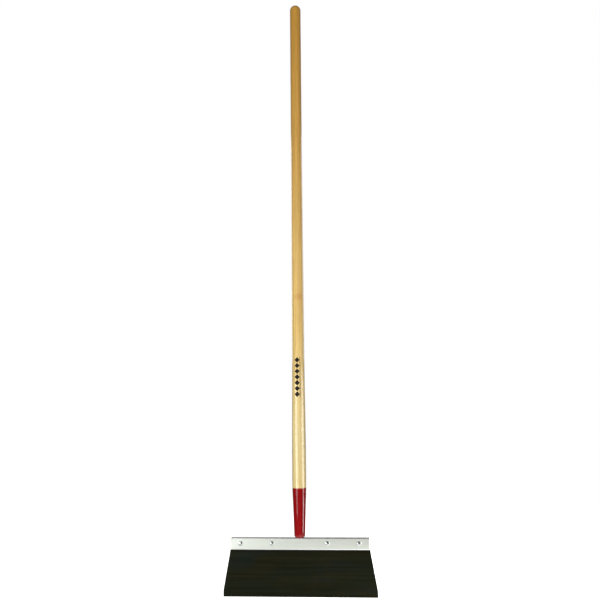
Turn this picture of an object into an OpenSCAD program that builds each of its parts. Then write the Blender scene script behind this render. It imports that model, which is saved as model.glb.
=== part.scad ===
// Long-handled floor scraper. A wide spring-steel blade is riveted into an extruded aluminium back,
// and a hanger bolt joins the back to the dipped lower end of a turned wooden handle.
// Millimetres. The origin is the middle of the cutting edge, +Z runs up the handle, +X along the edge,
// and -Y is the front, where the domed rivet heads are.

/* [Blade] */
// Width of the blade along its cutting edge
edge_w = 355.6; // [280:0.1:460]
// Height of blade below the aluminium back
blade_drop = 104; // [80:1:150]
// Height of the upright side above each lower corner
corner_h = 14; // [4:1:30]
// How far each shoulder stands out past the end of the back
shoulder_out = 1.9; // [0:0.1:5]
// How far each end of the blade's tongue stops short of the end of the back
tongue_in = 1; // [0.5:0.1:4]
// Thickness of the spring steel
blade_t = 1; // [0.6:0.1:1.6]
// Height of the bevel ground on the rear of the edge
bevel_h = 1.6; // [0.6:0.1:4]
// Thickness left at the ground edge
edge_t = 0.35; // [0.2:0.05:0.5]

/* [Aluminium back] */
// Length of the extruded back
back_w = 321; // [240:1:420]
// Height of the extruded back
back_h = 26; // [25:0.5:36]
// Thickness of the extruded back, front to rear
back_t = 18; // [17:0.5:26]
// Thickness of the wall above the nut channel
top_wall = 3; // [2:0.25:4]
// Radius along the two upper edges
top_round = 1; // [0.5:0.1:2]
// Size of the bevel along the two lower lips
lip_bevel = 1.5; // [0.5:0.1:3]
// Clearance on each face of the blade in its slot
slot_gap = 0.05; // [0.02:0.01:0.15]

/* [Rivets] */
// Diameter of a driven rivet's shank
rivet_d = 4.8; // [3.2:0.1:6]
// Diameter of the domed front head
rivet_head_d = 11; // [8:0.1:13]
// Height of the domed front head
rivet_head_h = 2.4; // [1.5:0.1:3.5]
// Diameter of the hammered rear head
rivet_tail_d = 7.4; // [6.5:0.1:10]
// Height of the hammered rear head
rivet_tail_h = 2.3; // [1.5:0.1:3.5]
// Distance from the end of the back to the outer rivet
rivet_from_end = 23.3; // [12:0.1:40]
// Distance from the outer rivet to the inner one
rivet_pitch = 73; // [40:0.5:90]
// Height of the rivets above the lower lips
rivet_up = 14; // [8:0.5:14.5]

/* [Handle] */
// Length of the handle, from its seat on the back to the top of its dome
handle_len = 1371.6; // [1000:0.1:1600]
// Diameter of the straight grip at the top
grip_d = 28.6; // [25:0.1:32]
// Length of the straight grip
grip_len = 450; // [250:5:500]
// Diameter of the shaft where it begins to swell towards the blade
waist_d = 30.2; // [26:0.1:34]
// Height of that waist above the seat
waist_up = 430; // [300:5:480]
// Diameter of the swell above the dipped end
swell_d = 33; // [30:0.1:38]
// Height of the lower end of the swell above the seat
swell_up = 124; // [116:1:150]
// Length of the swell at its full diameter
swell_len = 56; // [30:1:100]
// Diameter of the lower end, just above its rounding
tip_d = 24.8; // [22:0.1:28]
// Radius of the rounding at the lower end
tip_round = 5.6; // [3:0.1:7]

/* [Dipped end] */
// Height of the dip coat above the seat
dip_h = 113; // [60:1:115]
// Thickness of the dip coat
dip_t = 0.25; // [0.15:0.05:0.6]

/* [Hanger bolt and nut] */
// Diameter over the threads and the collar
bolt_d = 7.9; // [6:0.1:8.2]
// Length of the plain collar in the handle
collar_len = 8; // [4:1:15]
// Length of the wood thread, with its point
lag_len = 60; // [40:1:75]
// Pitch of the wood thread
lag_pitch = 3.2; // [2.5:0.1:4]
// Depth of the wood thread
lag_depth = 1.1; // [0.6:0.1:1.3]
// Pitch of the machine thread
machine_pitch = 1.4; // [1:0.1:1.6]
// Depth of the machine thread
machine_depth = 0.7; // [0.4:0.1:0.9]
// Width of the square nut across its flats
nut_w = 12.7; // [11:0.1:13]
// Thickness of the square nut
nut_h = 4; // [3:0.25:5]
// Clearance on each side of the nut in its channel
nut_gap = 0.2; // [0.1:0.05:0.5]
// Clearance round the bolt in the top wall
bolt_gap = 0.25; // [0.1:0.05:0.5]

/* [Hidden] */
$fn = 96;

// Heights of the levels that pieces share
lip_z = blade_drop;
seat_z = lip_z + back_h;
wood_z = seat_z + dip_t;
channel_top = seat_z - top_wall;
channel_h = nut_h + 2 * nut_gap;
channel_floor = channel_top - channel_h;

// Blade outline
tongue_w = back_w - 2 * tongue_in;
shoulder_w = back_w + 2 * shoulder_out;
tongue_gap = 0.4;
tongue_top = channel_floor - tongue_gap;

// Rivets along the back, from left to right
rivet_outer = back_w / 2 - rivet_from_end;
rivet_inner = rivet_outer - rivet_pitch;
rivet_x = [-rivet_outer, -rivet_inner, rivet_inner, rivet_outer];
rivet_z = lip_z + rivet_up;
head_r = (pow(rivet_head_d / 2, 2) + pow(rivet_head_h, 2)) / (2 * rivet_head_h);
tail_edge = 0.6;

// Handle outline, measured up from the end of the wood
grip_r = grip_d / 2;
grip_to = handle_len - dip_t - grip_r;
grip_from = grip_to - grip_len;
tip_r = tip_d / 2;
blend_steps = 12;

// Hanger bolt, measured up from the seat
bolt_r = bolt_d / 2;
point_len = 2 * lag_pitch;
stub_len = top_wall + nut_h;
lag_turns = floor((lag_len - point_len) / lag_pitch);
stub_turns = floor(stub_len / machine_pitch);
cut = 1; // how far a cutting shape runs past what it cuts

// Quarter-round waste left outside a convex corner of radius r whose centre is the origin
module corner_waste(r) {
    difference() {
        square(r + cut);
        circle(r);
    }
}

module blade_outline() {
    polygon([
        [-edge_w / 2, 0], [edge_w / 2, 0], [edge_w / 2, corner_h], [shoulder_w / 2, lip_z],
        [tongue_w / 2, lip_z], [tongue_w / 2, tongue_top], [-tongue_w / 2, tongue_top],
        [-tongue_w / 2, lip_z], [-shoulder_w / 2, lip_z], [-edge_w / 2, corner_h]
    ]);
}

module rivet_holes(length) {
    for (x = rivet_x)
        translate([x, 0, rivet_z])
            rotate([90, 0, 0])
                cylinder(d = rivet_d, h = length, center = true);
}

module blade() {
    color([0.13, 0.14, 0.12])
        difference() {
            rotate([90, 0, 0])
                linear_extrude(blade_t, center = true)
                    blade_outline();
            rivet_holes(blade_t + 2 * cut);
            // Ground bevel on the rear face
            rotate([90, 0, 90])
                linear_extrude(edge_w + 2 * cut, center = true)
                    polygon([
                        [edge_t - blade_t / 2, 0], [blade_t / 2, bevel_h],
                        [blade_t / 2 + cut, bevel_h], [blade_t / 2 + cut, -cut],
                        [edge_t - blade_t / 2, -cut]
                    ]);
        }
}

// Section of the extrusion: x is front to rear, y is up from the lips
module back_section() {
    difference() {
        translate([-back_t / 2, 0])
            square([back_t, back_h]);
        // Slot for the blade
        translate([-blade_t / 2 - slot_gap, -cut])
            square([blade_t + 2 * slot_gap, channel_floor - lip_z + 2 * cut]);
        // Channel that holds the nut
        translate([-nut_w / 2 - nut_gap, channel_floor - lip_z])
            square([nut_w + 2 * nut_gap, channel_h]);
        for (side = [0, 1])
            mirror([side, 0]) {
                translate([back_t / 2 - top_round, back_h - top_round])
                    corner_waste(top_round);
                polygon([
                    [back_t / 2 - lip_bevel, 0], [back_t / 2, lip_bevel], [back_t / 2 + cut, lip_bevel],
                    [back_t / 2 + cut, -cut], [back_t / 2 - lip_bevel, -cut]
                ]);
            }
    }
}

module blade_back() {
    color([0.84, 0.86, 0.82])
        difference() {
            translate([0, 0, lip_z])
                rotate([90, 0, 90])
                    linear_extrude(back_w, center = true)
                        back_section();
            rivet_holes(back_t + 2 * cut);
            translate([0, 0, channel_top - cut])
                cylinder(r = bolt_r + bolt_gap, h = top_wall + 2 * cut);
        }
}

// One driven rivet: domed head in front, shank through both jaws and the blade, hammered head behind
module rivet(x) {
    color([0.78, 0.8, 0.78])
        translate([x, 0, rivet_z])
            rotate([-90, 0, 0])
                rotate_extrude() {
                    translate([0, -back_t / 2])
                        square([rivet_d / 2, back_t]);
                    intersection() {
                        translate([0, head_r - rivet_head_h - back_t / 2])
                            circle(head_r);
                        translate([0, -back_t / 2 - rivet_head_h])
                            square([rivet_head_d / 2, rivet_head_h]);
                    }
                    difference() {
                        translate([0, back_t / 2])
                            square([rivet_tail_d / 2, rivet_tail_h]);
                        translate([rivet_tail_d / 2 - tail_edge, back_t / 2 + rivet_tail_h - tail_edge])
                            corner_waste(tail_edge);
                    }
                }
}

// Points down the right-hand side of the shaft, from the swell to the waist
function swell_r(t) = (waist_d + (swell_d - waist_d) * (1 + cos(180 * t)) / 2) / 2;
function swell_points() = [
    for (i = [0:blend_steps])
        let (t = i / blend_steps, start = swell_up + swell_len)
            [swell_r(t), start + t * (waist_up - start)]
];

// Half outline of the handle on its axis, grown outwards by the thickness of a coat
module handle_outline(grow = 0) {
    polygon(concat(
        [[0, tip_round], [tip_r + grow, tip_round], [swell_d / 2 + grow, swell_up]],
        swell_points(),
        [[grip_r, grip_from], [grip_r, grip_to], [0, grip_to]]
    ));
    translate([0, -grow])
        square([tip_r - tip_round, tip_round + grow]);
    intersection() {
        translate([tip_r - tip_round, tip_round])
            circle(tip_round + grow);
        translate([tip_r - tip_round, -grow])
            square([tip_round + grow, tip_round + grow]);
    }
    translate([0, grip_to])
        intersection() {
            circle(grip_r);
            square(grip_r);
        }
}

// Ridges of a thread drawn as rings, crest_r over a root that is depth lower
function ridges(crest_r, depth, pitch, turns, start) = [
    for (i = [0:turns - 1], half = [0, 1])
        [crest_r - depth * (1 - half), start + (i + half / 2) * pitch]
];

// Half outline of the hanger bolt on its axis, measured up from the seat
module bolt_outline() {
    polygon(concat(
        [[0, -stub_len], [bolt_r - machine_depth, -stub_len]],
        ridges(bolt_r, machine_depth, machine_pitch, stub_turns, -stub_len),
        [[bolt_r - machine_depth, stub_turns * machine_pitch - stub_len], [bolt_r - machine_depth, 0],
            [bolt_r, machine_depth], [bolt_r, collar_len]],
        ridges(bolt_r, lag_depth, lag_pitch, lag_turns, collar_len),
        [[bolt_r - lag_depth, collar_len + lag_turns * lag_pitch], [0, collar_len + lag_len]]
    ));
}

module hanger_bolt() {
    color([0.7, 0.7, 0.68])
        translate([0, 0, seat_z])
            rotate_extrude()
                bolt_outline();
}

module handle() {
    color([0.9, 0.76, 0.52])
        translate([0, 0, wood_z])
            rotate_extrude()
                difference() {
                    handle_outline();
                    translate([0, -dip_t])
                        bolt_outline();
                }
}

module handle_dip() {
    color([0.62, 0.03, 0.04])
        translate([0, 0, wood_z])
            rotate_extrude()
                difference() {
                    intersection() {
                        handle_outline(dip_t);
                        translate([0, -dip_t])
                            square([swell_d, dip_h]);
                    }
                    handle_outline();
                    translate([0, -dip_t])
                        bolt_outline();
                }
}

module square_nut() {
    color([0.72, 0.72, 0.7])
        difference() {
            translate([-nut_w / 2, -nut_w / 2, channel_top - nut_h])
                cube([nut_w, nut_w, nut_h]);
            hanger_bolt();
        }
}

blade();
blade_back();
rivet(rivet_x[0]);  // rivet_1
rivet(rivet_x[1]);  // rivet_2
rivet(rivet_x[2]);  // rivet_3
rivet(rivet_x[3]);  // rivet_4
handle();
handle_dip();
hanger_bolt();
square_nut();
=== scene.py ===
# %% [markdown]
# # A long-handled floor scraper
#
# The tool is a wide spring-steel blade held in an extruded aluminium back, and a turned wooden
# handle whose lower end was dipped in red lacquer. The engineering model gives every size and
# place. This notebook gives the tool its finished surfaces. Each step says what the piece is, how
# it could be made, and why it is made this way.

# %% Load the frame
import math

import bpy
import numpy as np
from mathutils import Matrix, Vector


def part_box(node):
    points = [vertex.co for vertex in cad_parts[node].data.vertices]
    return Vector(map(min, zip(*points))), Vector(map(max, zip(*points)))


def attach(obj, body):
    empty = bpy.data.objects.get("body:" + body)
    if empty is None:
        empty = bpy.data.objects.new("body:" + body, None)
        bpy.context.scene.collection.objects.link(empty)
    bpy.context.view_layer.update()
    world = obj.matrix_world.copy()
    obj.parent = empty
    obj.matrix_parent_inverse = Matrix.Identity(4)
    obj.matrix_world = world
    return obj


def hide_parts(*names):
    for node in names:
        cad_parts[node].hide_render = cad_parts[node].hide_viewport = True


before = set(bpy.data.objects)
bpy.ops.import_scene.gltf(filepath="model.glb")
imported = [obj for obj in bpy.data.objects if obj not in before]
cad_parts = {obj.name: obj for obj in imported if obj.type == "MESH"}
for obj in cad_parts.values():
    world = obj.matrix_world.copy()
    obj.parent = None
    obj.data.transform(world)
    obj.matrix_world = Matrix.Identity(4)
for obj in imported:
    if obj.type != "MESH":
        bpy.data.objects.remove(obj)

MM = 0.001
SHARP = math.radians(35)
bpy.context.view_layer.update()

# %% [markdown]
# ## Where the camera stands
#
# The camera comes first, because every later decision is judged through it. It stands a little to
# the right of the tool, at knee height, and looks slightly up, which is why the handle seems to
# narrow towards the top. A camera's own angles are measured from looking straight down, so a level
# view has a first angle of 90 degrees.

# %% Camera
camera_data = bpy.data.cameras.new("camera")
camera_data.lens = 41.15
camera_data.sensor_width = 36.0
camera = bpy.data.objects.new("camera", camera_data)
camera.location = (0.135, -1.665, 0.370)
camera.rotation_euler = (math.radians(100.94), math.radians(0.52), math.radians(4.54))
bpy.context.scene.collection.objects.link(camera)
bpy.context.scene.camera = camera
print("camera", [round(v, 3) for v in camera.location])

# %% [markdown]
# ## Reading sizes from the frame
#
# Nothing here is placed by eye. The boxes of the engineering nodes say where each piece starts and
# ends, and the corners of their meshes say the rest, such as how the handle's radius changes with
# height.

# %% Sizes
def cad_points(node):
    """The corners of an engineering node's mesh, one row of x, y, z for each."""
    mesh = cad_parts[node].data
    points = np.empty(3 * len(mesh.vertices))
    mesh.vertices.foreach_get("co", points)
    return points.reshape(-1, 3)


back_low, back_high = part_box("blade_back")
blade_low, blade_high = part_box("blade")
wood_low, wood_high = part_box("handle")
_, dip_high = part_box("handle_dip")
bolt_low, bolt_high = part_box("hanger_bolt")
nut_low, nut_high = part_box("square_nut")
lip_z, seat_z = back_low.z, back_high.z
jaw_y, back_x = back_high.y, back_high.x
blade_t = blade_high.y - blade_low.y
bolt_r = bolt_high.x
print(f"lips at {lip_z / MM:.1f} mm, seat at {seat_z / MM:.1f} mm, top at {wood_high.z / MM:.1f} mm")

# %% [markdown]
# ## One helper for every surface
#
# Every piece of this tool can be described as a stack of rings: circles up a handle, slices along
# an extrusion, slices up a blade. A stack of rings is a grid of points with two parameters, one
# round the ring and one along the stack, so numpy can work out all the points at once. The helper
# joins neighbouring rings with four-sided faces and shuts the two ends. It would also be possible
# to start from a primitive and push it about with modifiers, but then no number in the piece would
# mean anything.

# %% Skin over a stack of rings
def skin(name, rings, ends="pole", edge=None):
    """A closed mesh over rings, an array of (row, point, xyz).

    Face (i, j) joins points j and j+1 of ring i to the same points of ring i+1. Rings that run
    anticlockwise about the direction of the stack give faces that point outwards. ends says how the stack
    is shut: 'pole' with a fan to the middle of the first and last ring, 'cap' with one flat face, and
    'loop' by joining the last ring to the first. edge holds one number a point, from 0 on a face to 1 on a
    worn edge.
    """
    rings = np.asarray(rings, float)
    rows, around = rings.shape[:2]
    index = np.arange(rows * around).reshape(rows, around)
    if ends == "loop":
        index = np.vstack([index, index[:1]])
    turned = np.roll(index, -1, axis=1)
    faces = np.stack([index[:-1], turned[:-1], turned[1:], index[1:]], axis=-1).reshape(-1, 4).tolist()
    points = rings.reshape(-1, 3)
    worn = np.zeros(len(points)) if edge is None else np.broadcast_to(edge, (rows, around)).ravel()
    if ends == "pole":
        points = np.vstack([points, rings[0].mean(0), rings[-1].mean(0)])
        worn = np.append(worn, [worn[0], worn[-1]])
        first, last = np.full(around, rows * around), np.full(around, rows * around + 1)
        faces += np.stack([turned[0], index[0], first], axis=-1).tolist()
        faces += np.stack([index[-1], turned[-1], last], axis=-1).tolist()
    elif ends == "cap":
        faces += [index[0, ::-1].tolist(), index[-1].tolist()]
    mesh = bpy.data.meshes.new(name)
    mesh.from_pydata(points.tolist(), [], faces)
    mesh.attributes.new("edge", "FLOAT", "POINT").data.foreach_set("value", worn.astype(np.float32))
    mesh.shade_smooth()
    mesh.set_sharp_from_angle(angle=SHARP)
    return bpy.data.objects.new(name, mesh)


print("ready: a skin over any stack of rings")

# %% [markdown]
# Three short helpers feed the skin: one writes rings about an axis, one spaces angles and one eases
# between two levels. Two more put a finished piece in the scene and cut holes in it.

# %% Rings, easing, placing and drilling
def around_z(radius, height, turns):
    """Rings about the Z axis: x is radius times cosine, y is radius times sine, z is height.
    radius and height are one number a row, or one a row and point."""
    radius, height = np.atleast_1d(radius), np.atleast_1d(height)
    radius = radius[:, None] if radius.ndim == 1 else radius
    height = height[:, None] if height.ndim == 1 else height
    flat = np.ones_like(turns)[None]
    return np.stack([radius * np.cos(turns), radius * np.sin(turns), height * flat + 0 * radius], axis=-1)


def turns_of(count):
    """count angles spaced evenly round a full turn."""
    return np.linspace(0, 2 * np.pi, count, endpoint=False)


def ease(value, low, high):
    """0 below low, 1 above high, and a smooth S between: three t squared less two t cubed."""
    t = np.clip((np.asarray(value, float) - low) / (high - low), 0, 1)
    return t * t * (3 - 2 * t)


def finish_piece(piece, material, slot, *nodes):
    """Puts a piece in the scene, on the tool's one rigid body, in place of its engineering nodes."""
    bpy.context.scene.collection.objects.link(piece)
    piece.data.materials.append(material)
    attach(piece, "root")
    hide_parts(*nodes)
    print(f"{piece.name}: {len(piece.data.vertices)} points, {len(piece.data.polygons)} faces")


def drill(piece, *cutters):
    """Cuts the cutters' shapes out of a piece and keeps the result as its mesh."""
    scene = bpy.context.scene
    scene.collection.objects.link(piece)
    for cutter in cutters:
        scene.collection.objects.link(cutter)
        cut = piece.modifiers.new(cutter.name, "BOOLEAN")
        cut.operation, cut.solver, cut.object = "DIFFERENCE", "EXACT", cutter
    ready = piece.evaluated_get(bpy.context.evaluated_depsgraph_get())
    mesh = bpy.data.meshes.new_from_object(ready)
    piece.modifiers.clear()
    piece.data = mesh
    mesh.set_sharp_from_angle(angle=SHARP)
    for cutter in cutters:
        bpy.data.objects.remove(cutter)
    scene.collection.objects.unlink(piece)
    return piece


print("ready: rings about Z, even turns, easing, placing, drilling")

# %% [markdown]
# ## Building shader nodes by hand
#
# A material is a small graph. Writing it in code gets long, so a few helpers carry the load. One
# adds a node and fills in its sockets, and the others do a sum, mix two colours or read the surface
# through it. A socket takes either a plain value or the output of another node.

# %% Shader helpers
def wire(tree, kind, inputs=None, **settings):
    """Adds a node. settings are its options, inputs its sockets by name or number: a value or an output."""
    made = tree.nodes.new(kind)
    for name, value in settings.items():
        setattr(made, name, value)
    for name, value in (inputs or {}).items():
        if isinstance(value, bpy.types.NodeSocket):
            tree.links.new(value, made.inputs[name])
        else:
            made.inputs[name].default_value = value
    return made


def calc(tree, operation, a, b=0.0, clamp=False):
    """One sum of two numbers, as a Math node's output."""
    return wire(tree, "ShaderNodeMath", {0: a, 1: b}, operation=operation, use_clamp=clamp).outputs[0]


def plus(tree, a, b, clamp=False):
    """a and b added."""
    return calc(tree, "ADD", a, b, clamp)


def minus(tree, a, b):
    """b taken from a."""
    return calc(tree, "SUBTRACT", a, b)


def times(tree, a, b, clamp=False):
    """a multiplied by b."""
    return calc(tree, "MULTIPLY", a, b, clamp)


def between(tree, value, low, high, start=0.0, end=1.0):
    """value as a smooth step: start below low, end above high."""
    inputs = {"Value": value, "From Min": low, "From Max": high, "To Min": start, "To Max": end}
    return wire(tree, "ShaderNodeMapRange", inputs, interpolation_type="SMOOTHSTEP").outputs[0]


def mixed(tree, share, a, b, how="MIX"):
    """Two colours mixed. share is how much of b there is."""
    node = wire(tree, "ShaderNodeMix", {0: share, 6: a, 7: b}, data_type="RGBA", blend_type=how)
    return node.outputs[2]


def noise(tree, where, scale, detail=3.0, roughness=0.5):
    """A cloudy number from 0 to 1, from smooth random values summed at finer and finer scales."""
    inputs = {"Vector": where, "Scale": scale, "Detail": detail, "Roughness": roughness}
    return wire(tree, "ShaderNodeTexNoise", inputs, noise_dimensions="3D").outputs[0]


def stretched(tree, where, scale):
    """Coordinates multiplied by a different number along each axis."""
    inputs = {"Vector": where, "Scale": scale}
    return wire(tree, "ShaderNodeMapping", inputs, vector_type="POINT").outputs[0]


def parts_of(tree, vector):
    """The x, y and z of a vector, as three outputs."""
    return wire(tree, "ShaderNodeSeparateXYZ", {0: vector}).outputs


def facing_of(tree):
    """The x, y and z of the direction that the surface faces."""
    return parts_of(tree, wire(tree, "ShaderNodeNewGeometry").outputs["Normal"])


def edge_of(tree):
    """The mesh's own number for how near a point is to an edge."""
    return wire(tree, "ShaderNodeAttribute", attribute_name="edge").outputs["Fac"]


def emboss(tree, surface, strength, distance, height):
    """Shades the surface as if height, times distance in metres, stood out from it."""
    bump = wire(tree, "ShaderNodeBump", {"Strength": strength, "Distance": distance, "Height": height})
    tree.links.new(bump.outputs[0], surface.inputs["Normal"])


def start_material(name, **constants):
    """An empty material with a Principled surface, and the object's own coordinates to draw on."""
    material = bpy.data.materials.new(name)
    material.use_nodes = True
    tree = material.node_tree
    surface = tree.nodes["Principled BSDF"]
    for socket, value in constants.items():
        surface.inputs[socket.replace("_", " ")].default_value = value
    where = tree.nodes.new("ShaderNodeTexCoord").outputs["Object"]
    return material, tree, surface, where


def start_group(name, takes, gives):
    """An empty node group. takes is a list of (socket, type, first value) and gives of (socket, type)."""
    group = bpy.data.node_groups.new(name, "ShaderNodeTree")
    for label, kind, value in takes:
        socket = group.interface.new_socket(label, in_out="INPUT", socket_type="NodeSocket" + kind)
        if value is not None:
            socket.default_value = value
    for label, kind in gives:
        group.interface.new_socket(label, in_out="OUTPUT", socket_type="NodeSocket" + kind)
    return group, group.nodes.new("NodeGroupInput").outputs, group.nodes.new("NodeGroupOutput").inputs


def use_group(tree, group, inputs):
    """Places a node group in a material and fills in its sockets."""
    return wire(tree, "ShaderNodeGroup", inputs, node_tree=group).outputs


print("ready: nodes, sums, mixes, surface readings, materials and groups")

# %% [markdown]
# ## Effects that several materials share
#
# Wood fibre, die lines on an extrusion and rolling lines on steel are the same thing to a shader:
# noise pulled out very long in one direction. Worn edges and settled dust are just as general. Each
# is a node group with its own named sockets, so that every material can set its own scale and
# strength.

# %% Long lines
def make_long_lines():
    """Streaks along an axis. Frequency is how often they change along each axis, in changes a metre."""
    takes = [("Position", "Vector", None), ("Frequency", "Vector", None), ("Drift", "Float", 0.3)]
    group, given, out = start_group("long_lines", takes, [("Broad", "Float"), ("Fine", "Float")])
    place, frequency = given["Position"], given["Frequency"]
    scaled = wire(group, "ShaderNodeVectorMath", {0: place, 1: frequency}, operation="MULTIPLY")
    wander = noise(group, place, 9.0, 2.0)
    shift = times(group, wander, given["Drift"])
    streaky = {0: scaled.outputs[0], 1: shift}
    moved = wire(group, "ShaderNodeVectorMath", streaky, operation="ADD").outputs[0]
    group.links.new(noise(group, moved, 1.0, 2.0), out["Broad"])
    group.links.new(noise(group, moved, 4.3, 3.0, 0.7), out["Fine"])
    return group


def lines_along(tree, where, frequency, drift):
    """The streaks at one material's own frequency, as outputs Broad and Fine."""
    return use_group(tree, long_lines, {"Position": where, "Frequency": frequency, "Drift": drift})


long_lines = make_long_lines()
print("group", long_lines.name)

# %% Worn edges
def make_worn_edges():
    """Where an edge has been rubbed. Edge is the mesh's own number, and noise breaks the wear up."""
    takes = [("Edge", "Float", 0.0), ("Position", "Vector", None), ("Patch size", "Float", 120.0),
             ("Reach", "Float", 0.5)]
    group, given, out = start_group("worn_edges", takes, [("Mask", "Float")])
    patches = noise(group, given["Position"], given["Patch size"], 4.0, 0.6)
    rubbed = plus(group, given["Edge"], minus(group, patches, 0.5))
    bar = minus(group, 1.0, given["Reach"])
    mask = times(group, minus(group, rubbed, bar), 3.0, clamp=True)
    group.links.new(mask, out["Mask"])
    return group


def wear_mask(tree, where, patch_size, reach):
    """How rubbed each point is, with one material's own patch size and reach."""
    inputs = {"Edge": edge_of(tree), "Position": where, "Patch size": patch_size, "Reach": reach}
    return use_group(tree, worn_edges, inputs)["Mask"]


worn_edges = make_worn_edges()
print("group", worn_edges.name)

# %% Settled dust
def make_settled_dust():
    """Fine dust on what faces up. The normal's upward part is squared, and noise makes it uneven."""
    takes = [("Position", "Vector", None), ("Amount", "Float", 0.1)]
    group, given, out = start_group("settled_dust", takes, [("Mask", "Float")])
    up = facing_of(group)[2]
    facing = calc(group, "POWER", calc(group, "MAXIMUM", up, 0.0), 2.0)
    specks = between(group, noise(group, given["Position"], 420.0, 4.0, 0.65), 0.4, 0.75)
    laid = times(group, plus(group, facing, 0.12), specks)
    group.links.new(times(group, laid, given["Amount"], clamp=True), out["Mask"])
    return group


def dust_mask(tree, where, amount):
    """How dusty each point is."""
    return use_group(tree, settled_dust, {"Position": where, "Amount": amount})["Mask"]


settled_dust = make_settled_dust()
print("group", settled_dust.name)

# %% [markdown]
# ## Varnished wood
#
# A handle is turned from a straight-grained stick, so its growth rings are slices of very large,
# almost upright cones. The shader does the same: it measures how far each point is from a pith that
# lies outside the handle and leans a little, and turns that distance into rings. On the sides the
# rings show as lines, and on the dome they show as arcs of end grain, with no seam between. An
# image wrapped round the stick could not do that. Fibres and pores are noise stretched along the
# stick, and one small knot bends the rings round itself.

# %% Wood
RING = 2.9 * MM
pith = (0.047, 0.034)
lean = (0.010, -0.017)
ring_wander = 9 * MM
knot_height, knot_angle = 0.699, math.radians(-74)
knot_depth, knot_size, knot_push = 0.0152, 0.013, 6.5 * MM
knot_place = (knot_depth * math.cos(knot_angle), knot_depth * math.sin(knot_angle), knot_height)


def knot_nearness(tree, where):
    """1 at the middle of the knot, fading away over a round patch: a half to the power of twice the square
    of the distance over the knot's size."""
    offset = wire(tree, "ShaderNodeVectorMath", {0: where, 1: knot_place}, operation="SUBTRACT").outputs[0]
    sized = stretched(tree, offset, (1 / knot_size, 1 / knot_size, 1 / knot_size))
    far = wire(tree, "ShaderNodeVectorMath", {0: sized}, operation="LENGTH").outputs["Value"]
    return calc(tree, "POWER", 0.5, times(tree, times(tree, far, far), 2.0))


def ring_distance(tree, where, knot):
    """Distance from the leaning pith, warped by slow noise along the stick and pushed aside by the knot."""
    axes = parts_of(tree, where)
    sides = []
    for axis in range(2):
        centre = plus(tree, times(tree, axes[2], lean[axis]), pith[axis])
        sides.append(calc(tree, "POWER", minus(tree, axes[axis], centre), 2.0))
    plain = calc(tree, "SQRT", plus(tree, *sides))
    slow = noise(tree, stretched(tree, where, (14.0, 14.0, 1.7)), 1.0, 2.0)
    warp = times(tree, minus(tree, slow, 0.5), ring_wander)
    pushed = times(tree, knot, knot_push)
    return plus(tree, plus(tree, plain, warp), pushed)


def make_varnished_wood():
    """Pale hardwood that deepens to honey towards the grip, under a satin coat of varnish."""
    material, tree, surface, where = start_material("varnished_wood", Coat_Roughness=0.09)
    axes = parts_of(tree, where)
    knot = knot_nearness(tree, where)
    rings = calc(tree, "FRACT", calc(tree, "DIVIDE", ring_distance(tree, where, knot), RING))
    late = times(tree, between(tree, rings, 0.15, 0.86), between(tree, rings, 1.0, 0.88))
    lines = lines_along(tree, where, (420.0, 420.0, 6.0), 0.6)
    pores = noise(tree, stretched(tree, where, (2600.0, 2600.0, 110.0)), 1.0, 2.0)
    pore = times(tree, between(tree, pores, 0.62, 0.72), minus(tree, 1.0, late))
    tone = wire(tree, "ShaderNodeValToRGB", {0: calc(tree, "DIVIDE", axes[2], 1.5)})
    set_tones(tone.color_ramp)
    colour = mixed(tree, times(tree, late, 0.42), tone.outputs[0], (0.50, 0.25, 0.055, 1))
    streak = between(tree, lines["Broad"], 0.34, 0.68, 0.86, 1.1)
    colour = mixed(tree, 1.0, colour, grey_of(tree, streak), "MULTIPLY")
    hair = between(tree, lines["Fine"], 0.3, 0.7, 0.93, 1.06)
    colour = mixed(tree, 1.0, colour, grey_of(tree, hair), "MULTIPLY")
    colour = mixed(tree, times(tree, pore, 0.35), colour, (0.30, 0.15, 0.04, 1))
    heart = between(tree, knot, 0.35, 0.95)
    colour = mixed(tree, times(tree, knot, 0.5), colour, (0.66, 0.30, 0.085, 1))
    colour = mixed(tree, times(tree, heart, 0.15), colour, (0.30, 0.11, 0.03, 1))
    ink = printed_mark(tree, where, lines["Fine"])
    colour = mixed(tree, ink, colour, (0.006, 0.0055, 0.005, 1))
    # Darker where the wood faces up: the end grain, and painted shade on the top of the dome.
    end_grain_and_shade = end_grain_and_shade_of(tree)
    colour = mixed(tree, times(tree, end_grain_and_shade, 0.45), colour, (0.30, 0.17, 0.05, 1))
    dust = dust_mask(tree, where, 0.12)
    colour = mixed(tree, dust, colour, (0.62, 0.58, 0.5, 1))
    tree.links.new(colour, surface.inputs["Base Color"])
    rough = between(tree, lines["Fine"], 0.2, 0.8, 0.42, 0.6)
    rough = plus(tree, rough, times(tree, ink, 0.4), clamp=True)
    tree.links.new(rough, surface.inputs["Roughness"])
    varnish = times(tree, minus(tree, 1.0, ink), 0.95)
    tree.links.new(varnish, surface.inputs["Coat Weight"])
    grain = plus(tree, times(tree, late, 0.35), times(tree, lines["Fine"], 0.8))
    relief = minus(tree, grain, times(tree, pore, 1.2))
    emboss(tree, surface, 0.5, 0.05 * MM, relief)
    return material


def set_tones(ramp):
    """The wood's own colour from the seat to the dome."""
    stops = [(0.25, (0.68, 0.55, 0.235)), (0.36, (0.72, 0.59, 0.27)), (0.62, (0.79, 0.54, 0.165)),
             (0.80, (0.80, 0.53, 0.16)), (1.12, (0.71, 0.40, 0.082)), (1.46, (0.75, 0.38, 0.048))]
    ramp.elements.remove(ramp.elements[1])
    for height, colour in stops:
        stop = ramp.elements.new(height / 1.5)
        stop.color = (*colour, 1)
    ramp.elements.remove(ramp.elements[0])


def grey_of(tree, value):
    """A number as a grey colour, to multiply another colour by."""
    return wire(tree, "ShaderNodeCombineXYZ", {0: value, 1: value, 2: value}).outputs[0]


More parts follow.
